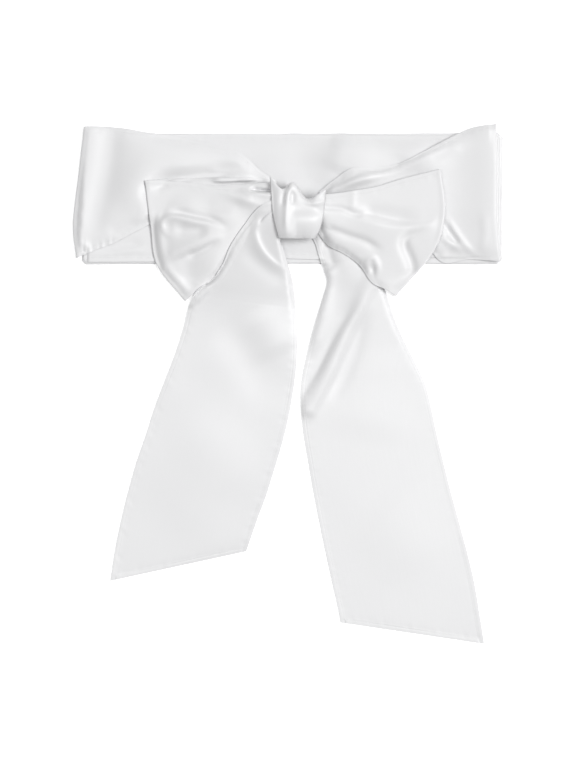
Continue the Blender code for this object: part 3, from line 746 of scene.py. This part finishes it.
loopRight = {
    "front": [
        [(24, 147), (25, 138), (25, 128), (23, 118)],
        [(38, 148), (38, 134), (36, 120), (31, 108)],
        [(54, 150.5), (54, 134), (52, 117), (44, 101)],
        [(70, 153.5), (71, 134), (68, 113), (56, 92)],
        [(86, 158.5), (88, 136), (85, 110), (65, 79)],
        [(103, 163), (106, 138), (101, 108), (75, 74)],
        [(118.5, 167), (122, 133), (113, 103), (84, 68.5)],
    ],
    "back": [
        [(24, 146), (25, 138), (25, 130), (24, 122)],
        [(54, 149), (54, 134), (52, 120), (46, 105)],
        [(86, 157), (88, 136), (85, 111), (67, 82)],
        [(118.5, 167), (122, 133), (113, 103), (84, 68.5)],
    ],
    "folds": [
        crease(0.7, 1.5, [(117.5, 168), (120.8, 142), (119.2, 122), (113.4, 106)], far=1.6, start=1.0),
        crease(
            1.8, 2.6, [(44, 130), (62, 125), (80, 121.5), (96, 121.5), (110, 124), (118, 131)],
            far=11, crisp=0.3,
        ),
        crease(-2.4, 7, [(52, 134), (68, 132), (84, 128.5), (104, 126)], far=3),
        crease(-1.6, 2.5, [(29, 137), (42, 136), (52, 132), (60, 133)], start=1.0),
        crease(0.6, 2.6, [(50, 152), (50.5, 143), (49, 134)], start=1.0),
        crease(-1.8, 3, [(34, 120), (48, 115), (62, 110), (75, 101)], far=4, start=1.0),
        crease(
            -2.4, 3, [(114, 122), (102, 118), (93, 114), (91, 108), (96, 96), (97, 88), (90, 83), (72, 77)], far=4,
        ),
        crease(1.5, 2, [(60, 90), (62, 96), (66, 98), (69, 93), (70, 82)], crisp=0.3),
        crease(-2.4, 2.2, [(66, 94), (65.5, 86), (64, 78)]),
        crease(-3.0, 5, [(22, 124), (24, 118), (26, 112)], start=1.0, end=1.0),
    ],
    "size": (90, 98), "puckers": [(1, 120, 200, 0.22, 4.3, 6)],
    "lowClose": 0.95, "turnShare": 0.98,
    "bed": [
        (15, 18.5, 17.5, 12), (14.4, 16.6, 15.6, 11.4), (13.6, 15, 14, 10.6), (12.8, 13.2, 12, 8.8),
        (12, 12, 10.6, 5.6),
    ],
    "seed": 17, "slack": (0.12, 44),
}
rightLoop, rightLoopStitches = dress("right_loop", "right_loop_stitches", layLoop(loopRight))
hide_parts("loop_right")
print("right loop laid")

tailLeft = {
    "plan": [
        [(-4, 145), (0, 120)],
        [(-22, 137.5), (-6, 112)],
        [(-35, 122), (-3, 103)],
        [(-45, 107), (0, 93)],
        [(-51, 93), (3, 83)],
        [(-60, 80.5), (5, 72)],
        [(-71, 73), (6, 62)],
        [(-77.5, 61), (7, 50)],
        [(-82, 43), (7.3, 32)],
        [(-88, 24), (6.5, 14)],
        [(-96, 3), (4, -6)],
        [(-104, -18), (0, -28)],
        [(-111, -40), (-5, -48)],
        [(-118.5, -62), (-11, -68)],
        [(-125, -85), (-17, -87)],
        [(-130.5, -108), (-24, -106)],
        [(-135, -130), (-29.5, -122)],
        [(-138.5, -153.5), (-32.5, -130.5)],
    ],
    "folds": [
        crease(1.0, 34, [(-30, 116), (-32, 92), (-36, 60)], start=1.0, end=1.0),
        crease(
            1.5, 2.4, [(-12, 134), (-24, 122), (-24, 112), (-18, 101), (-8, 92), (3, 88)],
            far=5, start=1.0, crisp=0.3,
        ),
        crease(-1.0, 7, [(-36, 112), (-26, 98), (-10, 86), (4, 80)]),
        crease(-1.2, 1.5, [(-12, 137), (-19, 130), (-23, 123)], start=1.0),
        crease(1.2, 3, [(-24, 133), (-40, 115), (-52, 92), (-66, 77)], start=1.0),
        crease(-1.3, 16, [(-58, 52), (-40, 36), (-24, 10), (-5, -20)]),
        crease(1.3, 18, [(-26, 60), (-14, 40), (-4, 20)]),
        crease(0.8, 34, [(-96, -30), (-62, -62), (-24, -92)]),
    ],
    "bed": [
        (19, 20, 20), (13.4, 14.6, 14.4), (8.4, 9, 8.2), (4.4, 4.8, 4), (1.5, 2.6, 1.8),
        (0.9, 2, 0.9), (0.7, 1.6, 0.7), (0.5, 1.3, 0.5), (0.5, 1.1, 0.5), (0.4, 0.6, 0.4),
    ],
    "puckers": [(0, 50, 80, 0.2, 4.1, 4)],
    "size": (104, 290), "room": (1.2, 3), "seed": 19, "slack": (0.22, 80),
    "hemReach": 3.2, "roll": [4, 4, 4.5, 1.5, 1.2, 1.2, 1.2, 1.2], "endHem": True,
}
leftTail, leftTailStitches = dress("left_tail", "left_tail_stitches", layFlat(tailLeft), endHem=True)
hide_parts("tail_left")
print("left tail laid")

knotWrap = {
    "plan": [
        [(-7, 113.5), (-1, 113), (5, 113), (12, 113), (21, 113)],
        [(-9.5, 122), (-2, 122), (5, 122), (14, 122), (25, 121)],
        [(-12, 134), (-3, 134), (5, 134), (15, 132), (27.5, 131)],
        [(-13, 148), (-4, 145), (4, 149), (14, 139), (28.5, 141)],
        [(-14, 161), (-5, 151), (4, 156), (15, 143.5), (29.5, 151)],
    ],
    "folds": [
        crease(
            1.5, 2.4, [(-1, 117), (-1.7, 126), (-1.2, 136), (0, 145), (2, 152)],
            far=2.6, start=0.6, end=1.0, crisp=0.3,
        ),
        crease(
            2.0, 2.4, [(3, 154), (7, 152), (11, 146), (15, 141), (22, 140), (29, 141)],
            start=1.0, end=1.0, crisp=0.3,
        ),
        crease(-1.9, 2.2, [(3, 150), (3.5, 144), (3, 138)]),
        crease(-1.1, 2.0, [(-3, 150), (-4, 143), (-4, 137)], start=1.0),
        crease(-1.3, 5, [(-1, 136), (12, 135.5), (28, 135)], end=1.0),
        crease(0.8, 6, [(0, 126), (16, 127), (28, 126)], end=1.0),
        crease(0.5, 4, [(-8, 118), (-8.5, 136), (-8, 152)], start=1.0),
    ],
    # heights, how far the wrap turns under, and how soon its left and right sides drop
    "top": 26, "foot": 8, "drop": 6, "tuck": 0.6, "sides": (2.5, 6), "arch": 0.7,
    "room": (1.5, 2), "count": (72, 50),
}


def makeKnot():
    tuck = knotWrap["tuck"]
    turn = np.linspace(-tuck, math.pi + tuck, knotWrap["count"][0])
    across = np.linspace(0, 1, knotWrap["count"][1])
    x, y = planAt(knotWrap["plan"], (1 - np.cos(turn)) / 2, across)
    foot = ground.under(x, y, *knotWrap["room"]) + cloth["gap"] + cloth["thick"] / 2
    foot = np.maximum(foot, knotWrap["foot"])
    arch = (np.sin(turn) + math.sin(tuck)) / (1 + math.sin(tuck))
    leftSide, rightSide = knotWrap["sides"]
    drop = knotWrap["drop"] * np.abs(2 * across - 1) ** np.where(across < 0.5, leftSide, rightSide)
    crest = knotWrap["top"] - drop + reliefAt(x, y, knotWrap["folds"])
    z = foot + liftOff(crest - foot) * arch[:, None] ** knotWrap["arch"]
    return np.stack([x, y, z], -1)


knot = placeSheet("knot_wrap", makeKnot())
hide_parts("knot")
print("knot made")

# Studio: pale floor, a broad soft light from the right, one overhead towards the top, and a bright room.
studio = {
    "floor": (0.9, 0.9, 0.9, 1), "floorWide": 2.2, "glow": 0.45, "world": 0.25,
    "key": {"place": (5.0, 0.6, 7.9), "size": (4.6, 4.2), "power": 640},
    "fill": {"place": (-0.2, 0.35, 1.3), "size": (1.0, 0.9), "power": 5.3},
}


def areaLight(name):
    form = studio[name]
    light = bpy.data.lights.new(name, "AREA")
    light.shape = "RECTANGLE"
    light.size, light.size_y = form["size"]
    light.energy = form["power"]
    lamp = bpy.data.objects.new(name, light)
    lamp.location = form["place"]
    lamp.rotation_euler = (-Vector(form["place"])).to_track_quat("-Z", "Y").to_euler()
    bpy.context.collection.objects.link(lamp)


floorMesh = bmesh.new()
bmesh.ops.create_grid(floorMesh, x_segments=8, y_segments=8, size=studio["floorWide"])
floor = objectFrom("floor", floorMesh)
paper = bpy.data.materials.new("paper")
paper.use_nodes = True
setInputs(paper.node_tree.nodes["Principled BSDF"], {
    "Base Color": studio["floor"], "Roughness": 0.9, "Specular IOR Level": 0.1,
    "Emission Color": (1, 1, 1, 1), "Emission Strength": studio["glow"],
})
floor.data.materials.append(paper)

world = bpy.data.worlds.new("studio")
bpy.context.scene.world = world
world.use_nodes = True
world.node_tree.nodes["Background"].inputs[0].default_value = (1, 1, 1, 1)
world.node_tree.nodes["Background"].inputs[1].default_value = studio["world"]
areaLight("key")
areaLight("fill")
bpy.context.scene.view_settings.view_transform = "Standard"

# the picture's width in metres, 576 pixels of 0.78 mm, and a camera straight above
view = {"wide": 0.78 * 576 / 1000, "far": 3.0, "sensor": 36}
lens = bpy.data.cameras.new("camera")
lens.sensor_fit = "HORIZONTAL"
lens.sensor_width = view["sensor"]
lens.lens = view["sensor"] * view["far"] / view["wide"]
lens.clip_end = 20
camera = bpy.data.objects.new("camera", lens)
camera.location = (0, 0, view["far"])
bpy.context.collection.objects.link(camera)
bpy.context.scene.camera = camera
